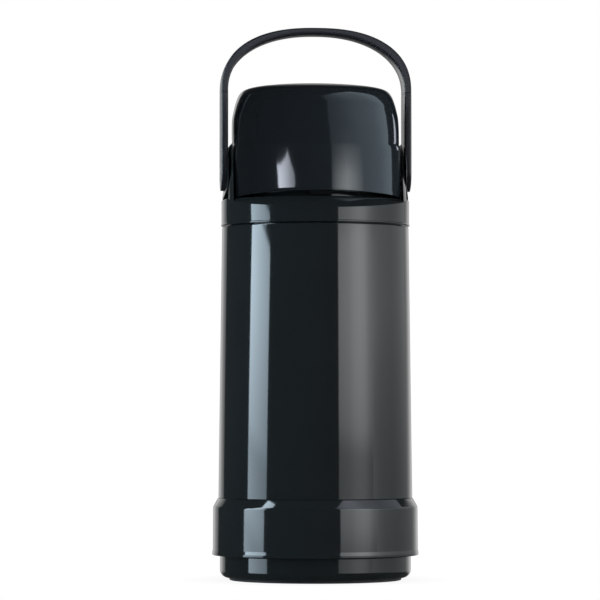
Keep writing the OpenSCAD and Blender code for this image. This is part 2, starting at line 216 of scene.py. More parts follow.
def surface(name, base, rough, ior=1.5, metallic=0.0, grain=1500, grain_depth=0.0000015,
            tone_spread=0.12, wave_depth=0.0001):
    """Moulded or metal surface: fine grain and slow waves in its relief, slow patches in tone and gloss."""
    patch, wave = 30, 16
    rough_spread = 0.2
    material = bpy.data.materials.new(name)
    material.use_nodes = True
    tree = material.node_tree
    shader = tree.nodes["Principled BSDF"]
    shader.inputs["Metallic"].default_value = metallic
    shader.inputs["IOR"].default_value = ior
    coord = tree.nodes.new("ShaderNodeTexCoord")

    patches = tree.nodes.new("ShaderNodeTexNoise")
    patches.inputs["Scale"].default_value = patch
    patches.inputs["Detail"].default_value = 4
    link(tree, coord.outputs["Object"], patches.inputs["Vector"])

    tone = tree.nodes.new("ShaderNodeMix")
    tone.data_type = "RGBA"
    dark = [c * (1 - tone_spread) for c in base]
    light = [c * (1 + tone_spread) for c in base]
    tone.inputs["A"].default_value = (*dark, 1)
    tone.inputs["B"].default_value = (*light, 1)
    link(tree, patches.outputs["Fac"], tone.inputs["Factor"])
    link(tree, tone.outputs["Result"], shader.inputs["Base Color"])

    gloss = tree.nodes.new("ShaderNodeMapRange")
    gloss.inputs["To Min"].default_value = rough * (1 - rough_spread)
    gloss.inputs["To Max"].default_value = rough * (1 + rough_spread)
    link(tree, patches.outputs["Fac"], gloss.inputs["Value"])
    link(tree, gloss.outputs["Result"], shader.inputs["Roughness"])

    fine = tree.nodes.new("ShaderNodeTexNoise")
    fine.inputs["Scale"].default_value = grain
    fine.inputs["Detail"].default_value = 2
    link(tree, coord.outputs["Object"], fine.inputs["Vector"])
    fine_bump = tree.nodes.new("ShaderNodeBump")
    fine_bump.inputs["Distance"].default_value = grain_depth
    fine_bump.inputs["Strength"].default_value = 1
    link(tree, fine.outputs["Fac"], fine_bump.inputs["Height"])

    slow = tree.nodes.new("ShaderNodeTexNoise")
    slow.inputs["Scale"].default_value = wave
    slow.inputs["Detail"].default_value = 1
    link(tree, coord.outputs["Object"], slow.inputs["Vector"])
    slow_bump = tree.nodes.new("ShaderNodeBump")
    slow_bump.inputs["Distance"].default_value = wave_depth
    slow_bump.inputs["Strength"].default_value = 1
    link(tree, slow.outputs["Fac"], slow_bump.inputs["Height"])
    link(tree, fine_bump.outputs["Normal"], slow_bump.inputs["Normal"])
    link(tree, slow_bump.outputs["Normal"], shader.inputs["Normal"])
    return material


def glass(name, tint):
    """Clear glass with slow waviness, as blown glass has."""
    material = surface(name, tint, 0.02, ior=1.47, grain_depth=0.0, wave_depth=0.0001, tone_spread=0.02)
    material.node_tree.nodes["Principled BSDF"].inputs["Transmission Weight"].default_value = 1
    return material


body_plastic = surface("body_plastic", (0.0112, 0.0142, 0.0146), 0.07, ior=1.53)
collar_plastic = surface("collar_plastic", (0.0112, 0.0142, 0.0146), 0.07, ior=1.43)
lid_plastic = surface("lid_plastic", (0.0140, 0.0178, 0.0206), 0.08, ior=1.53)
bail_plastic = surface("bail_plastic", (0.0125, 0.0128, 0.0160), 0.26, ior=1.5)
inner_plastic = surface("inner_plastic", (0.022, 0.024, 0.028), 0.34, grain=2200, grain_depth=0.00006)
foot_rubber = surface("foot_rubber", (0.040, 0.042, 0.046), 0.62, grain=2600, grain_depth=0.00012)
seal_rubber = surface("seal_rubber", (0.42, 0.43, 0.44), 0.5, grain=2000, grain_depth=0.00008)
clear_glass = glass("clear_glass", (0.93, 0.96, 0.96))
silvered_glass = surface("silvered_glass", (0.80, 0.81, 0.82), 0.06, metallic=1.0, wave_depth=0.0002)
spacer_pad = surface("spacer_pad", (0.48, 0.41, 0.30), 0.85, grain=900, grain_depth=0.0003)
pin_steel = surface("pin_steel", (0.50, 0.51, 0.52), 0.28, metallic=1.0, grain=3000, grain_depth=0.00003)
foam = surface("foam", (0.78, 0.74, 0.64), 0.9, grain=1400, grain_depth=0.0002)


# Body, base and foot

def body_tube():
    tail_r = BODY_R_LOW - 1.35
    wall = 2.6
    spigot_r = SPIGOT_R
    section = fillet([
        (tail_r - wall, shell_low.z, 0.3), (tail_r, shell_low.z, 0.3), (tail_r, BASE_TOP, 0),
        (BODY_R_LOW, BASE_TOP + 0.12, 0.35), (BODY_R_HIGH, SEAM_Z - 0.6, 0.8),
        (spigot_r, SEAM_Z - 0.6, 0.2), (spigot_r, shell_high.z, 0.3), (spigot_r - 2, shell_high.z, 0.3),
        (spigot_r - 2, SEAM_Z - 6, 1), (BODY_R_HIGH - wall, SEAM_Z - 11, 1),
        (BODY_R_LOW - wall - 0.1, BASE_TOP + 4, 1), (tail_r - wall, BASE_TOP - 2, 1)
    ], steps=6)
    return make("body_tube", *turned(lambda a: section, 256), "carafe", "body_shell", "body_plastic",
                body_plastic)


def base_cup():
    foot_r = LIP_R - 4.75
    bore = BODY_R_LOW - 1.25
    draft = 0.2
    ring_in, ring_out = 45.4, foot_high.x + 0.1
    wall = 2.8
    lip_z = 15.5
    step_z = 19.5
    low = 1.5
    groove_z = 3.5
    under_z = base_low.z + 2.3
    floor_z = base_low.z + 4.7
    section = fillet([
        (0.01, floor_z, 0), (0.01, under_z, 0), (43.5, under_z, 0.8), (44.3, low + 0.3, 0.4),
        (ring_in, low + 0.3, 0.2), (ring_in, groove_z, 0), (ring_out, groove_z, 0),
        (ring_out, low, 0.1), (foot_r, low, 5), (foot_r, lip_z, 0.7), (LIP_R, lip_z, 0.6),
        (LIP_R, lip_z + 1.6, 1.5), (BASE_R, lip_z + 3.6, 2), (BASE_R - draft, BASE_TOP - 5.2, 3),
        (BODY_R_LOW + 0.25, BASE_TOP, 0.35), (bore, BASE_TOP, 0.2), (bore, step_z, 0),
        (foot_r - wall, step_z, 0.3), (foot_r - wall, floor_z, 2)
    ], steps=6)
    return make("base_cup", *turned(lambda a: section, 256), "carafe", "base_cap", "body_plastic",
                body_plastic)


def foot():
    inner, outer = 45.5, foot_high.x
    top = foot_high.z
    section = fillet([(inner, 0, 0.7), (outer, 0, 0.7), (outer, top, 0.1), (inner, top, 0.1)])
    return make("foot", *turned(lambda a: section, 192), "carafe", "foot_ring", "foot_rubber", foot_rubber)


# Collar with its front ledge, ears and hinge knuckles

PANEL_R = 62.2
PANEL_Y = 49.5
PANEL_C = PANEL_R - PANEL_Y
REAR_Y = 47.0
REAR_C = PANEL_R - REAR_Y
LEDGE_SLOPE = 0.83


def arc_reach(a, centre, radius):
    """Distance from the axis, in direction a, to a circle whose middle is at centre on the Y axis."""
    return centre * math.sin(a) + math.sqrt(radius ** 2 - (centre * math.cos(a)) ** 2)


def collar_section(a):
    """Section of the collar; at the front its top edge falls away as a bevel below the lid's panel."""
    edge = 0.45
    x, y = COLLAR_R * math.cos(a), COLLAR_R * math.sin(a)
    fall = math.hypot(x, y - PANEL_C) - PANEL_R
    top_r = min(COLLAR_R - edge, arc_reach(a, PANEL_C, PANEL_R))
    side_z = min(COLLAR_TOP - edge, COLLAR_TOP - LEDGE_SLOPE * max(0, fall))
    upstand_r, upstand_z, bore_r = 42.5, COLLAR_TOP + 6, 26.0
    skirt_r = SPIGOT_R + 0.1
    plate_z = COLLAR_TOP - 3
    rim = PANEL_Y - 2.4
    return fillet([
        (skirt_r, SEAM_Z, 0.2), (BEAD_R, SEAM_Z, 0.3), (BEAD_R, SEAM_Z + 0.9, 0.2),
        (COLLAR_R, SEAM_Z + 1.2, 0.1), (COLLAR_R, side_z, 0.4), (top_r, COLLAR_TOP, 0.4),
        (upstand_r, COLLAR_TOP, 0.3),
        (upstand_r, upstand_z, 0.4), (upstand_r - 2.2, upstand_z, 0.4), (upstand_r - 2.6, COLLAR_TOP, 0.4),
        (bore_r, COLLAR_TOP, 0.3), (bore_r, plate_z, 0.3), (rim, plate_z, 0.5),
        (skirt_r, plate_z - LEDGE_SLOPE * (skirt_r - rim), 0.5)
    ], steps=4)


EAR_IN, EAR_OUT = 52.35, 54.7
EAR_TOP, EAR_SHOULDER = 269.6, 267.2
EAR_LOW = COLLAR_TOP - 2.5
CHEEK_R = COLLAR_R - 0.3
CHEEK_TAPER = 0.11


def cheek_reach(z):
    """Radius of the cone that carries the collar's outside on up the ears and the bail's eyes."""
    return CHEEK_R - CHEEK_TAPER * (z - COLLAR_TOP)


def ear_part():
    """A cheek with flat sides, whose front and rear edges lie on the cone and whose top slopes outwards."""
    steps = 12
    rings = []
    for share, inset in ((0, 0), (0.25, 0), (0.5, 0), (0.75, 0), (0.985, 0), (0.995, 0.12), (1, 0.4)):
        x_in, x_out = EAR_IN + inset, EAR_OUT - inset

        def height(x):
            top = EAR_TOP + (EAR_SHOULDER - EAR_TOP) * (x - EAR_IN) / (EAR_OUT - EAR_IN)
            return EAR_LOW + (top - EAR_LOW) * share

        reach = cheek_reach(height((x_in + x_out) / 2)) - inset
        far = math.sqrt(reach ** 2 - x_in ** 2)
        near = math.sqrt(max(0, reach ** 2 - x_out ** 2))
        edge = []
        for k in range(steps + 1):
            y = far + (near - far) * k / steps
            edge.append((min(x_out, math.sqrt(reach ** 2 - y ** 2)), y))
        outline = [(x, -y) for x, y in edge] + [(x, y) for x, y in reversed(edge)]
        rings.append([(x, y, height(x)) for x, y in outline])
    return capped(rings)


def box_part(low, high, edge=0.3):
    """A box with bevelled edges, as a prism along X."""
    def outline(inset):
        return [(low[1] + inset, low[2] + inset), (high[1] - inset, low[2] + inset),
                (high[1] - inset, high[2] - inset), (low[1] + inset, high[2] - inset)]
    return slab(outline, [(low[0], edge), (low[0] + edge, 0), (high[0] - edge, 0), (high[0], edge)])


def collar_cover():
    knuckle_in, knuckle_out, knuckle_r = 8.2, hinge_high.x, 3.0
    knuckle = joined(
        rod(knuckle_in, knuckle_out, knuckle_r, HINGE_Y, HINGE_Z),
        box_part((knuckle_in + 0.05, HINGE_Y - knuckle_r + 0.02, COLLAR_TOP - 1),
                 (knuckle_out - 0.05, HINGE_Y + knuckle_r - 0.6, HINGE_Z)))
    ear = ear_part()
    parts = joined(turned(collar_section, 288), ear, mirrored(ear), knuckle, mirrored(knuckle))
    return make("collar_cover", *parts, "carafe", "collar", "body_plastic", collar_plastic)


# Lid

SHOULDER = 266.6
LID_LOW = COLLAR_TOP + 0.3
PANEL_LEAN = 0.0081
PANEL_BEND = 0.00195
LID_LEVELS = [(z, 0, PANEL_LEAN * (z - LID_LOW) + PANEL_BEND * (z - LID_LOW) ** 2, 0, 30)
              for z in (LID_LOW, 241, 247, 252, 257, 262, SHOULDER)]
LID_LEVELS += [
    (SHOULDER + 1.8, -0.3, 2.6, 0.1, 16), (278, -0.5, 5, 0.3, 16), (285, -0.3, 7.4, 0.6, 16),
    (290, 0.3, 9.3, 1.6, 14), (295, 1.2, 11.3, 3, 12), (LID_TOP - 8, 2.9, 14.4, 5.4, 11),
    (LID_TOP - 5.2, 5.2, 17.8, 8.6, 10), (LID_TOP - 3.5, 9.6, 22.2, 13, 9), (LID_TOP - 2.2, 17, 28.5, 20, 8)
]
EDGE_SLOPE = 0.1
TOP_MIDDLE = 2


def between(levels, steps):
    """Levels with more added between them: straight pieces up to the shoulder, smooth ones above."""
    out = []
    for i in range(len(levels) - 1):
        p1, p2 = levels[i], levels[i + 1]
        straight = p2[0] < SHOULDER + 2
        p0 = levels[i - 1] if p1[0] > SHOULDER + 2 else p1
        p3 = levels[min(i + 2, len(levels) - 1)]
        count = 2 if straight else steps
        for k in range(count):
            t = k / count
            if straight:
                out.append(tuple(a + (b - a) * t for a, b in zip(p1, p2)))
            else:
                out.append(tuple(
                    0.5 * (2 * b + (c - a) * t + (2 * a - 5 * b + 4 * c - d) * t * t
                           + (3 * b - a - 3 * c + d) * t ** 3)
                    for a, b, c, d in zip(p0, p1, p2, p3)))
    out.append(levels[-1])
    return out


def lid_reach(a, level, inset):
    """Distance from the axis to the lid's outline: side, front arc and rear arc with rounded corners."""
    _, side_in, front_in, rear_in, power = level
    radius = PANEL_R - inset
    side = (LID_HALF - side_in - inset) / max(abs(math.cos(a)), 0.001)
    ahead = arc_reach(a, PANEL_C + front_in, radius)
    behind = arc_reach(a, -(REAR_C + rear_in), radius)
    return (side ** -power + ahead ** -power + behind ** -power) ** (-1 / power)


def lid_ring(level, inset, n, z_shift=0.0, trim=0.0):
    ring = []
    for i in range(n):
        a = 2 * math.pi * (i + 0.5) / n
        r = lid_reach(a, level, inset) - trim
        x, y = r * math.cos(a), r * math.sin(a)
        rise = max(0, -y - 17) * EDGE_SLOPE * max(0, 1 - (level[0] - LID_LOW) / 10)
        ring.append((x, y, level[0] + rise + z_shift))
    return ring


def top_rings(ring, top, n):
    """Rings that close a dome over a ring, down to a small one in the middle."""
    out = []
    low = sum(p[2] for p in ring) / n
    for s in (0.8, 0.6, 0.4, 0.2, 0.04):
        z = top - (top - low) * s * s
        out.append([(x * s, TOP_MIDDLE + (y - TOP_MIDDLE) * s, z) for x, y, _ in ring])
    return out


def cup_part(outer_inset, inner_inset, low, n, steps):
    """A cup that hangs from the lid's top, with rounded lips."""
    lip = 0.4
    above = [level for level in LID_LEVELS[1:] if level[0] > low + 1]
    levels = between([(low, *LID_LEVELS[0][1:])] + above, steps)

    def side(inset, outwards):
        rings = [lid_ring(levels[0], inset, n, 0, lip * outwards),
                 lid_ring(levels[0], inset, n, lip * 0.3, lip * 0.3 * outwards)]
        for level in levels:
            drop = inset if level[0] > 280 else inset * max(0, (level[0] - 272) / 8)
            ring = lid_ring(level, inset, n, lip if level is levels[0] else -drop)
            rings.append(ring)
        return rings + top_rings(rings[-1], LID_TOP - inset, n)

    outer = side(outer_inset, 1)
    inner = side(inner_inset, -1)
    rings = list(reversed(outer)) + inner
    verts, faces = skin([list(reversed(r)) for r in rings])
    n_last = len(verts) - n
    faces.append(tuple(reversed(range(n))))
    faces.append(tuple(range(n_last, len(verts))))
    return verts, faces


def lid_cover():
    knuckle_half, knuckle_r = 7.9, 3.0
    knuckle = joined(
        rod(-knuckle_half, knuckle_half, knuckle_r, HINGE_Y, HINGE_Z),
        box_part((-knuckle_half + 0.05, REAR_Y - 1.2, HINGE_Z - knuckle_r + 0.02),
                 (knuckle_half - 0.05, HINGE_Y, HINGE_Z + knuckle_r - 0.02)))
    parts = joined(cup_part(0, 2.4, LID_LOW, 240, 6), knuckle)
    return make("lid_cover", *parts, "lid", "lid_shell", "lid_plastic", lid_plastic)


def lid_cup():
    return make("lid_cup", *cup_part(3.2, 4.6, COLLAR_TOP + 8, 120, 3), "lid", "lid_liner", "inner_plastic",
                inner_plastic)


def thumb_catch():
    """An L-shaped tab: a nose below the lid's edge and a leaf behind its panel."""
    low, high = catch_low, catch_high
    nose = 2.2
    leaf = 1.5

    def outline(inset):
        return [(low.y + inset, low.z + inset), (high.y - inset, low.z + inset),
                (high.y - inset, high.z - inset), (high.y - leaf + inset, high.z - inset),
                (high.y - leaf + inset, low.z + nose - inset), (low.y + inset, low.z + nose - inset)]

    edge = 0.3
    part = slab(outline, [(low.x, edge), (low.x + edge * 0.3, edge * 0.3), (low.x + edge, 0),
                          (high.x - edge, 0), (high.x - edge * 0.3, edge * 0.3), (high.x, edge)])
    return make("thumb_catch", *part, "lid", "lid_catch", "lid_plastic", lid_plastic)


# Bail handle

ARCH_Z = 302.0
ARCH_POWER = 2.4
ARCH_POWER_INSIDE = 2.2
STRAP_T = 4.1
STRAP_HALF = 11.5
CROWN_HALF = 8.0
EYE_R = 17.0
EYE_T = 0.6
EYE_BORE = 2.2


def strap_half(z):
    """Half width of the strap, which narrows towards the crown."""
    t = min(1, max(0, (z - ARCH_Z + 12) / (BAIL_TOP - ARCH_Z + 12)))
    return STRAP_HALF + (CROWN_HALF - STRAP_HALF) * t * t * (3 - 2 * t)


def strap_section(inner, outer, share=1.0):
    """A rounded rectangle between an inner and an outer point; share narrows it at the strap's ends."""
    edge_t = 0.24
    section = []
    for sign_t, sign_y in ((1, 1), (1, -1), (0, -1), (0, 1)):
        for k in range(5):
            turn = k / 4 if (sign_t == 1) == (sign_y == 1) else 1 - k / 4
            c, s = math.cos(math.pi / 2 * turn), math.sin(math.pi / 2 * turn)
            along = edge_t * (1 - s) if sign_t == 0 else 1 - edge_t * (1 - s)
            z = inner[1] + (outer[1] - inner[1]) * along
            half = strap_half(z) * share
            across = sign_y * (half - min(0.95, half * 0.9) * (1 - c))
            section.append((inner[0] + (outer[0] - inner[0]) * along, across, z))
    return section


def arch_point(half, top, power, a):
    c, s = math.cos(a), math.sin(a)
    return (half * math.copysign(abs(c) ** (2 / power), c), ARCH_Z + (top - ARCH_Z) * abs(s) ** (2 / power))


def bail_strap():
    inner_half = BAIL_HALF - STRAP_T
    rings = []
    end_steps = 12
    lower = []
    for k in range(end_steps):
        t = math.radians(88 * (1 - k / end_steps))
        lower.append((PIVOT_Z - STRAP_HALF * math.sin(t), math.cos(t), 0))
    lower += [(z, 1, 0) for z in (PIVOT_Z, 262, 274, 286, 292, 297)]
    # A fine joint line runs round the strap where the arch starts.
    joint_z = ARCH_Z - 0.6
    lower += [(joint_z - 0.2, 1, 0), (joint_z, 0.982, 0.2), (joint_z + 0.2, 1, 0), (ARCH_Z, 1, 0)]
    for z, share, groove in lower:
        rings.append(strap_section((inner_half + groove, z), (BAIL_HALF - groove, z), share))
    steps = 96
    for i in range(1, steps):
        a = math.pi * i / steps
        rings.append(strap_section(arch_point(inner_half, BAIL_TOP - STRAP_T, ARCH_POWER_INSIDE, a),
                                   arch_point(BAIL_HALF, BAIL_TOP, ARCH_POWER, a)))
    for z, share, groove in reversed(lower):
        rings.append(strap_section((-inner_half - groove, z), (-BAIL_HALF + groove, z), share))
    return capped(rings)


def eye_part():
    """The bored disc round a pivot: thin at the top, filled out to the cone below."""
    inner_x = BAIL_HALF - STRAP_T + 0.03
    edge = 0.35
    segments = 96

    def ring(r, depth_at):
        out = []
        for i in range(segments):
            a = 2 * math.pi * i / segments
            y, z = r * math.cos(a), PIVOT_Z + r * math.sin(a)
            cone = math.sqrt(cheek_reach(z) ** 2 - y ** 2) - 0.03
            face = min(BAIL_HALF - 0.2, max(inner_x + EYE_T - 0.05, cone))
            out.append((depth_at(face), y, z))
        return out

    inside = ((EYE_BORE, 0), (EYE_R - 0.15, 0), (EYE_R, 0.15))
    rings = [ring(r, lambda face, d=d: inner_x + d) for r, d in inside]
    for r, d in ((EYE_R, edge), (EYE_R - edge * 0.3, edge * 0.3), (EYE_R - edge, 0)):
        rings.append(ring(r, lambda face, d=d: face - d))
    for k in range(24, -1, -1):
        rings.append(ring(EYE_BORE + (EYE_R - 1 - EYE_BORE) * k / 24, lambda face: face))
    return skin(rings, closed_path=True)


def bail():
    eye = eye_part()
    make("bail_eyes", *joined(eye, mirrored(eye)), "bail", None, "body_plastic", body_plastic)
    return make("bail", *bail_strap(), "bail", "bail_handle", "bail_plastic", bail_plastic)


def pins():
    head_x = BAIL_HALF - 0.9
    pin = joined(rod(pin_low.x, head_x + 0.2, 2.0, 0, PIVOT_Z, 0.2),
                 rod(head_x, pin_high.x - 0.2, 3.2, 0, PIVOT_Z, 0.35, dome=0.2))
    make("pin_right", *pin, "carafe", "pivot_pin_right", "pin_steel", pin_steel)
    make("pin_left", *mirrored(pin), "carafe", "pivot_pin_left", "pin_steel", pin_steel)
    make("lid_pin", *rod(hinge_low.x, hinge_high.x, 1.5, HINGE_Y, HINGE_Z, 0.25), "carafe", "hinge_pin",
         "pin_steel", pin_steel)


# Neck and stopper, seen when the lid is open

def pouring_ring():
    sleeve, shelf_in, bore = 23.1, 19.0, 21.6
    gasket_z = 252.0
    shelf_z = gasket_z + 2.5
    lip_z = shelf_z + 12.5
    plate_z = COLLAR_TOP - 3
    top = ring_high.z
    section = fillet([
        (sleeve, 226, 0.3), (25.4, 226, 0.3), (25.9, plate_z - 3.5, 0), (33, plate_z - 3, 0.3),
        (33, plate_z, 0.3), (25.9, plate_z, 0), (25.9, lip_z - 3, 4), (31, top - 0.8, 0.5), (31, top, 0.4),
        (29.6, top, 0.5),
        (bore, lip_z, 2), (bore, shelf_z, 0.2), (shelf_in, shelf_z, 0.4), (shelf_in, gasket_z, 0.2),
        (sleeve, gasket_z, 0)
    ], steps=5)
    lugs = []
    for side in (0, 1):
        z = shelf_z + 3.4 + 6 * (0.75 + 0.5 * side)
        part = box_part((20.3, -4, z - 1.1), (22.1, 4, z + 1.1), 0.25)
        turn = Matrix.Rotation(math.radians(90 + 180 * side), 3, "Z")
        lugs.append(([tuple(turn @ Vector(v)) for v in part[0]], part[1]))
    parts = joined(turned(lambda a: section, 192), *lugs)
    return make("pouring_ring", *parts, "carafe", "neck_ring", "inner_plastic", inner_plastic)


def grip_knob():
    """The stopper's fluted knob."""
    flutes = 16
    outer, inner = knob_high.x, 19.9
    low, top = knob_low.z, knob_high.z

    def section(a):
        wave = 0.5 + 0.5 * math.cos(a * flutes)
        cut = 1.2 * wave ** 3
        return fillet([
            (inner, low, 0.2), (outer, low, 0.4), (outer, low + 1.8, 0.2), (outer - cut, low + 2.4, 0.3),
            (outer - cut, top - 0.8, 2.4), (12, top - 0.3, 0), (0.01, top, 0), (0.01, low + 3.1, 0),
            (inner, low + 3.1, 0.2)
        ], steps=5)

    return make("grip_knob", *turned(section, 256), "stopper", "stopper_knob", "inner_plastic",
                inner_plastic)


def hidden_nodes():
    """Finishes for the CAD nodes that stay as they are."""
    finish = {
        "liner_support": foot_rubber, "liner_outer_wall": silvered_glass, "liner_inner_wall": clear_glass,
        "liner_spacers": spacer_pad, "neck_gasket": seal_rubber, "stopper_body": inner_plastic,
        "stopper_foam": foam, "stopper_gasket": seal_rubber
    }
    for name, material in finish.items():
        mesh = nodes[name].data
        mesh.materials.clear()
        mesh.materials.append(material)


# Studio

CAMERA_AZIMUTH = -5.0
CAMERA_DISTANCE = 2100.0
CAMERA_Z = 101.8
PHOTO_SIZE = 600
MM_PER_PX = 0.62
FOCAL_PX = CAMERA_DISTANCE / MM_PER_PX
HORIZON_PX = 415
AXIS_PX = 315.3


def camera():
    """The photograph's view: camera low, aimed a little up and past the carafe's axis."""
    data = bpy.data.cameras.new("camera")
    data.sensor_width = 36
    data.lens = FOCAL_PX * data.sensor_width / PHOTO_SIZE
    data.clip_end = 50
    cam = bpy.data.objects.new("camera", data)
    bpy.context.scene.collection.objects.link(cam)
    a = math.radians(CAMERA_AZIMUTH)
    cam.location = Vector((CAMERA_DISTANCE * math.sin(a), -CAMERA_DISTANCE * math.cos(a), CAMERA_Z)) * MM
    up = math.atan((HORIZON_PX - PHOTO_SIZE / 2) / FOCAL_PX)
    aside = math.atan((AXIS_PX - PHOTO_SIZE / 2) / FOCAL_PX)
    cam.rotation_euler = (math.pi / 2 + up, 0, a + aside)
    bpy.context.scene.camera = cam


def ramp(tree, stops):
    """A colour ramp through (place, value) stops."""
    node = tree.nodes.new("ShaderNodeValToRGB")
    stops = sorted(stops)
    elements = node.color_ramp.elements
    elements[0].position = stops[0][0]
    elements[1].position = stops[-1][0]
    for place, _ in stops[1:-1]:
        elements.new(place)
    for element, (place, value) in zip(elements, stops):
        element.position = place
        element.color = (value, value, value, 1)
    return node


def times(tree, a, b):
    node = tree.nodes.new("ShaderNodeMath")
    node.operation = "MULTIPLY"
    link(tree, a, node.inputs[0])
    link(tree, b, node.inputs[1])
    return node.outputs["Value"]


def softbox(name, azimuth, distance, height, profile, fade, tint, roll=0.0, lean=0.0, edges=()):
    """A flat light that faces the carafe; lengths in metres, seen from the camera.

    azimuth is that of its two edges from the camera's side, left is positive; height is from low to high.
    profile is a list of (azimuth, radiance) across it, fade a list of (share of height, share of light).
    edges, a list of (share of height, left azimuth, right azimuth), cuts it to a shape.
    """
    blur = 0.03
    middle = sum(azimuth) / 2
    half = math.radians(abs(azimuth[0] - azimuth[1]) / 2)

    def across_at(at):
        return min(1, max(0, 0.5 - math.tan(math.radians(at - middle)) / (2 * math.tan(half))))

    light = bpy.data.lights.new(name, "AREA")
    light.shape = "RECTANGLE"
    light.size = 2 * distance * math.tan(half)
    light.size_y = height[1] - height[0]
    peak = max(value for _, value in profile)
    light.energy = peak * math.pi * light.size * light.size_y
    light.color = tint
    light.use_nodes = True
    tree = light.node_tree
    place = tree.nodes.new("ShaderNodeNewGeometry")
    axes = tree.nodes.new("ShaderNodeSeparateXYZ")
    link(tree, place.outputs["Parametric"], axes.inputs["Vector"])
    across = ramp(tree, [(across_at(at), value / peak) for at, value in profile])
    link(tree, axes.outputs["X"], across.inputs["Fac"])
    upward = ramp(tree, fade)
    link(tree, axes.outputs["Y"], upward.inputs["Fac"])
    strength = times(tree, across.outputs["Color"], upward.outputs["Color"])
    for side, column in ((1, 1), (-1, 2)) if edges else ():
        bound = ramp(tree, [(row[0], across_at(row[column])) for row in edges])
        link(tree, axes.outputs["Y"], bound.inputs["Fac"])
        gap = tree.nodes.new("ShaderNodeMath")
        gap.operation = "SUBTRACT"
        link(tree, axes.outputs["X"], gap.inputs[0])
        link(tree, bound.outputs["Color"], gap.inputs[1])
        soft = tree.nodes.new("ShaderNodeMapRange")
        soft.inputs["From Min"].default_value = 0
        soft.inputs["From Max"].default_value = blur * side
        link(tree, gap.outputs["Value"], soft.inputs["Value"])
        strength = times(tree, strength, soft.outputs["Result"])
    link(tree, strength, tree.nodes["Emission"].inputs["Strength"])

    lamp = bpy.data.objects.new(name, light)
    bpy.context.scene.collection.objects.link(lamp)
    lamp.visible_camera = False
    turn = math.radians(CAMERA_AZIMUTH - middle)
    out = Vector((math.sin(turn), -math.cos(turn), 0))
    lamp.location = out * distance + Vector((0, 0, sum(height) / 2))
    away = out * math.cos(math.radians(lean)) + Vector((0, 0, math.sin(math.radians(lean))))
    lamp.rotation_euler = (away.to_track_quat("Z", "Y").to_matrix()
                           @ Matrix.Rotation(math.radians(roll), 3, "Z")).to_euler()
    return lamp


def only_on(lamps, pieces, state):
    """Let lamps light pieces alone (INCLUDE) or everything else (EXCLUDE)."""
    for lamp in lamps:
        group = bpy.data.collections.new(lamp.name + "_pieces")
        for piece in pieces:
            group.objects.link(piece)
        for member in group.collection_objects:
            member.light_linking.link_state = state
        lamp.light_linking.receiver_collection = group


COOL = (0.81, 0.87, 1.0)
BLUE = (0.70, 0.87, 1.0)
PALE = (0.95, 0.98, 1.0)
EVEN = [(0, 1), (1, 1)]
STRIP_AWAY = 1.1
STRIP_ROLL = -7.0
PANEL_AWAY = 1.3


def strips():
    """The tilted strip at the left and the part of it above the collar."""
    fade = [(0, 0.5), (0.43, 0.55), (0.49, 0.8), (0.59, 0.93), (0.75, 1.13), (0.83, 1.2), (1, 1.2)]
    return [
        softbox("strip_left", (57.9, 84.8), STRIP_AWAY, (-0.3, 0.42), [(57.9, 5.9), (70, 8.0), (84.8, 10.6)],
                fade, BLUE, roll=STRIP_ROLL),
        softbox("strip_high", (61.6, 76.1), STRIP_AWAY, (0.42, 1.4), [(61.6, 8.5), (76.1, 12)], EVEN, BLUE)
    ]


def panels():
    """The wide panel at the right: its front part, and the rest of it round the side."""
    height = (-0.25, 0.9)
    front = [(-27.5, 2.3), (-40, 2.9), (-47, 3.6), (-54, 3.9), (-61, 3.5), (-66, 2.6), (-72, 1.8)]
    front_fade = [(0, 0.38), (0.19, 0.4), (0.215, 0.43), (0.262, 0.76), (0.33, 0.91), (0.45, 1.05),
                  (0.6, 1.1), (0.8, 0.0), (1, 0.0)]
    side = [(-72, 1.8), (-77, 1.45), (-83, 1.15), (-93, 0.9), (-104, 0.7), (-117, 0.62), (-139, 0.55)]
    side_fade = [(0, 0.55), (0.22, 0.65), (0.35, 0.9), (0.45, 1.15), (0.6, 1.15), (0.8, 0.0), (1, 0.0)]
    return [softbox("panel_right", (-27.5, -72), PANEL_AWAY, height, front, front_fade, PALE),
            softbox("panel_side", (-72, -139), PANEL_AWAY, height, side, side_fade, PALE)]


def high_panel():
    """A panel over the wide one, seen in the sloping faces."""
    across = [(-26, 0.5), (-30, 0.84), (-41, 1.7), (-51, 1.95), (-61, 1.95), (-72, 1.35), (-83, 1.1),
              (-95, 0.78), (-107, 0.77), (-125, 0.77)]
    fade = [(0, 0), (0.1, 1), (1, 1)]
    return softbox("panel_high", (-26, -125), PANEL_AWAY, (0.6, 2.4), across, fade, COOL)


def strap_lights():
    """The dimmer lights of the satin strap."""
    side = [(-27.5, 0.45), (-45, 0.6), (-60, 0.75), (-75, 1.0), (-93, 1.3)]
    side_fade = [(0, 0), (0.2, 1), (0.7, 1), (1, 0.75)]
    return [
        softbox("strap_side", (-27.5, -93), PANEL_AWAY, (0.6, 2.4), side, side_fade, COOL),
        softbox("strap_over", (-30, -90), 0.75, (1.4, 2.4), [(-30, 0.35), (-90, 0.6)], EVEN, COOL, lean=62),
        softbox("strap_front", (25, -25), 1.5, (0.5, 1.1), [(25, 1.0), (-25, 1.0)], EVEN, COOL)
    ]


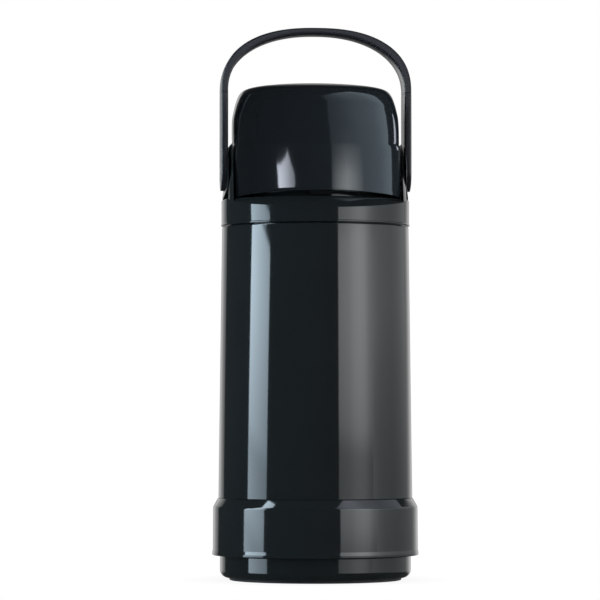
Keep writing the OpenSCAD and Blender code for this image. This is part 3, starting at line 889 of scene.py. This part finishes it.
def lid_lights():
    """The lid's tall panel with a brighter patch, its star-shaped window and a glint on its corner."""
    side = [(-21, 0.36), (-27, 0.42), (-33, 0.49), (-39, 0.6), (-45, 0.7), (-51, 0.86), (-63, 1.07),
            (-77, 1.22), (-84, 1.33), (-92, 1.6), (-103, 1.8)]
    peak = [(-21, 0.5), (-27, 1.9), (-33, 2.8), (-39, 3.5), (-45, 2.65), (-51, 1.6), (-60, 0.0)]
    peak_fade = [(0, 0.7), (0.4, 1), (0.52, 1), (0.6, 0.5), (0.67, 0.2), (0.85, 0.05), (1, 0)]
    glint = [(19, 4), (25, 6), (32, 11.5), (38, 15.5), (43, 15)]
    glint_fade = [(0, 1), (0.4, 0.85), (1, 0.6)]
    star = [(0.0, 39.8, 21.6), (0.3, 41.2, 20.3), (0.47, 42.7, 23.5), (0.49, 38.0, 24.4), (0.55, 35.0, 25.6),
            (0.63, 32.0, 27.5), (0.73, 30.0, 29.8), (1.0, 30.0, 29.8)]
    return [
        softbox("lid_side", (-21, -103), PANEL_AWAY, (-0.25, 4.4), side, EVEN, BLUE),
        softbox("lid_peak", (-21, -60), PANEL_AWAY, (-0.25, 1.1), peak, peak_fade, PALE),
        softbox("lid_glint", (19, 43), PANEL_AWAY, (0.34, 0.74), glint, glint_fade, COOL, edges=star),
        softbox("corner_glint", (-124, -134), PANEL_AWAY, (0.46, 0.72), [(-124, 3), (-134, 3)], EVEN, COOL)
    ]


def lights(cover, catch, strap):
    """Soft lights; in the photograph the lid and the strap reflect others than the body."""
    only_on(strips() + panels(), [cover, catch], "EXCLUDE")
    only_on([high_panel()], [cover, catch, strap], "EXCLUDE")
    only_on(strap_lights(), [strap], "INCLUDE")
    only_on(lid_lights(), [cover], "INCLUDE")


def world():
    """White for the camera; for reflections a pale backdrop behind the carafe in an otherwise dim room."""
    backdrop = [(0, 0), (0.7716, 0), (0.783, 0.4), (0.94, 1), (0.966, 1), (0.985, 0.35), (1, 0.3)]
    fade_top, fade_bottom = (24, 16), (-12, -5)
    room_dim = 0.045
    sky = bpy.data.worlds.new("studio")
    bpy.context.scene.world = sky
    sky.use_nodes = True
    tree = sky.node_tree
    tree.nodes.clear()
    out = tree.nodes.new("ShaderNodeOutputWorld")
    seen = tree.nodes.new("ShaderNodeBackground")
    seen.inputs["Color"].default_value = (1, 1, 1, 1)
    room = tree.nodes.new("ShaderNodeBackground")
    path = tree.nodes.new("ShaderNodeLightPath")
    mix = tree.nodes.new("ShaderNodeMixShader")
    coord = tree.nodes.new("ShaderNodeTexCoord")
    level = tree.nodes.new("ShaderNodeVectorMath")
    level.operation = "MULTIPLY"
    level.inputs[1].default_value = (1, 1, 0)
    unit = tree.nodes.new("ShaderNodeVectorMath")
    unit.operation = "NORMALIZE"
    toward = tree.nodes.new("ShaderNodeVectorMath")
    toward.operation = "DOT_PRODUCT"
    back = math.radians(CAMERA_AZIMUTH)
    toward.inputs[1].default_value = (-math.sin(back), math.cos(back), 0)
    wide = ramp(tree, backdrop)
    axes = tree.nodes.new("ShaderNodeSeparateXYZ")
    high = tree.nodes.new("ShaderNodeMapRange")
    high.interpolation_type = "SMOOTHSTEP"
    high.inputs["From Min"].default_value = math.sin(math.radians(fade_top[0]))
    high.inputs["From Max"].default_value = math.sin(math.radians(fade_top[1]))
    low = tree.nodes.new("ShaderNodeMapRange")
    low.inputs["From Min"].default_value = math.sin(math.radians(fade_bottom[0]))
    low.inputs["From Max"].default_value = math.sin(math.radians(fade_bottom[1]))
    bright = tree.nodes.new("ShaderNodeMapRange")
    bright.inputs["To Min"].default_value = room_dim
    bright.inputs["To Max"].default_value = 1.0
    link(tree, coord.outputs["Generated"], level.inputs[0])
    link(tree, level.outputs["Vector"], unit.inputs[0])
    link(tree, unit.outputs["Vector"], toward.inputs[0])
    link(tree, toward.outputs["Value"], wide.inputs["Fac"])
    link(tree, coord.outputs["Generated"], axes.inputs["Vector"])
    link(tree, axes.outputs["Z"], high.inputs["Value"])
    link(tree, axes.outputs["Z"], low.inputs["Value"])
    lit = times(tree, wide.outputs["Color"], times(tree, high.outputs["Result"], low.outputs["Result"]))
    link(tree, lit, bright.inputs["Value"])
    link(tree, bright.outputs["Result"], room.inputs["Color"])
    link(tree, path.outputs["Is Camera Ray"], mix.inputs["Fac"])
    link(tree, room.outputs["Background"], mix.inputs[1])
    link(tree, seen.outputs["Background"], mix.inputs[2])
    link(tree, mix.outputs["Shader"], out.inputs["Surface"])


def floor():
    """A wide white floor with a faint contact shadow; the glossy walls show the dim room instead of it."""
    reach = 6.0
    shadow_reach, shadow_level = 0.03, 0.9
    mesh = bpy.data.meshes.new("floor")
    mesh.from_pydata([(-reach, -reach, 0), (reach, -reach, 0), (reach, reach, 0), (-reach, reach, 0)], [],
                     [(0, 1, 2, 3)])
    plane = bpy.data.objects.new("floor", mesh)
    bpy.context.scene.collection.objects.link(plane)
    plane.visible_glossy = False
    material = bpy.data.materials.new("floor")
    material.use_nodes = True
    tree = material.node_tree
    shader = tree.nodes["Principled BSDF"]
    shader.inputs["Base Color"].default_value = (0.85, 0.85, 0.85, 1)
    shader.inputs["Roughness"].default_value = 0.9
    shade = tree.nodes.new("ShaderNodeAmbientOcclusion")
    shade.inputs["Distance"].default_value = shadow_reach
    dim = tree.nodes.new("ShaderNodeMapRange")
    dim.inputs["To Min"].default_value = shadow_level
    dim.inputs["To Max"].default_value = 1.0
    glow = tree.nodes.new("ShaderNodeEmission")
    path = tree.nodes.new("ShaderNodeLightPath")
    mix = tree.nodes.new("ShaderNodeMixShader")
    link(tree, shade.outputs["AO"], dim.inputs["Value"])
    link(tree, dim.outputs["Result"], glow.inputs["Strength"])
    link(tree, path.outputs["Is Camera Ray"], mix.inputs["Fac"])
    link(tree, shader.outputs["BSDF"], mix.inputs[1])
    link(tree, glow.outputs["Emission"], mix.inputs[2])
    link(tree, mix.outputs["Shader"], tree.nodes["Material Output"].inputs["Surface"])
    mesh.materials.append(material)


camera()
body_tube()
base_cup()
foot()
collar_cover()
cover = lid_cover()
lid_cup()
catch = thumb_catch()
strap = bail()
pins()
pouring_ring()
grip_knob()
hidden_nodes()
floor()
lights(cover, catch, strap)
world()
bpy.context.scene.view_settings.view_transform = "Standard"
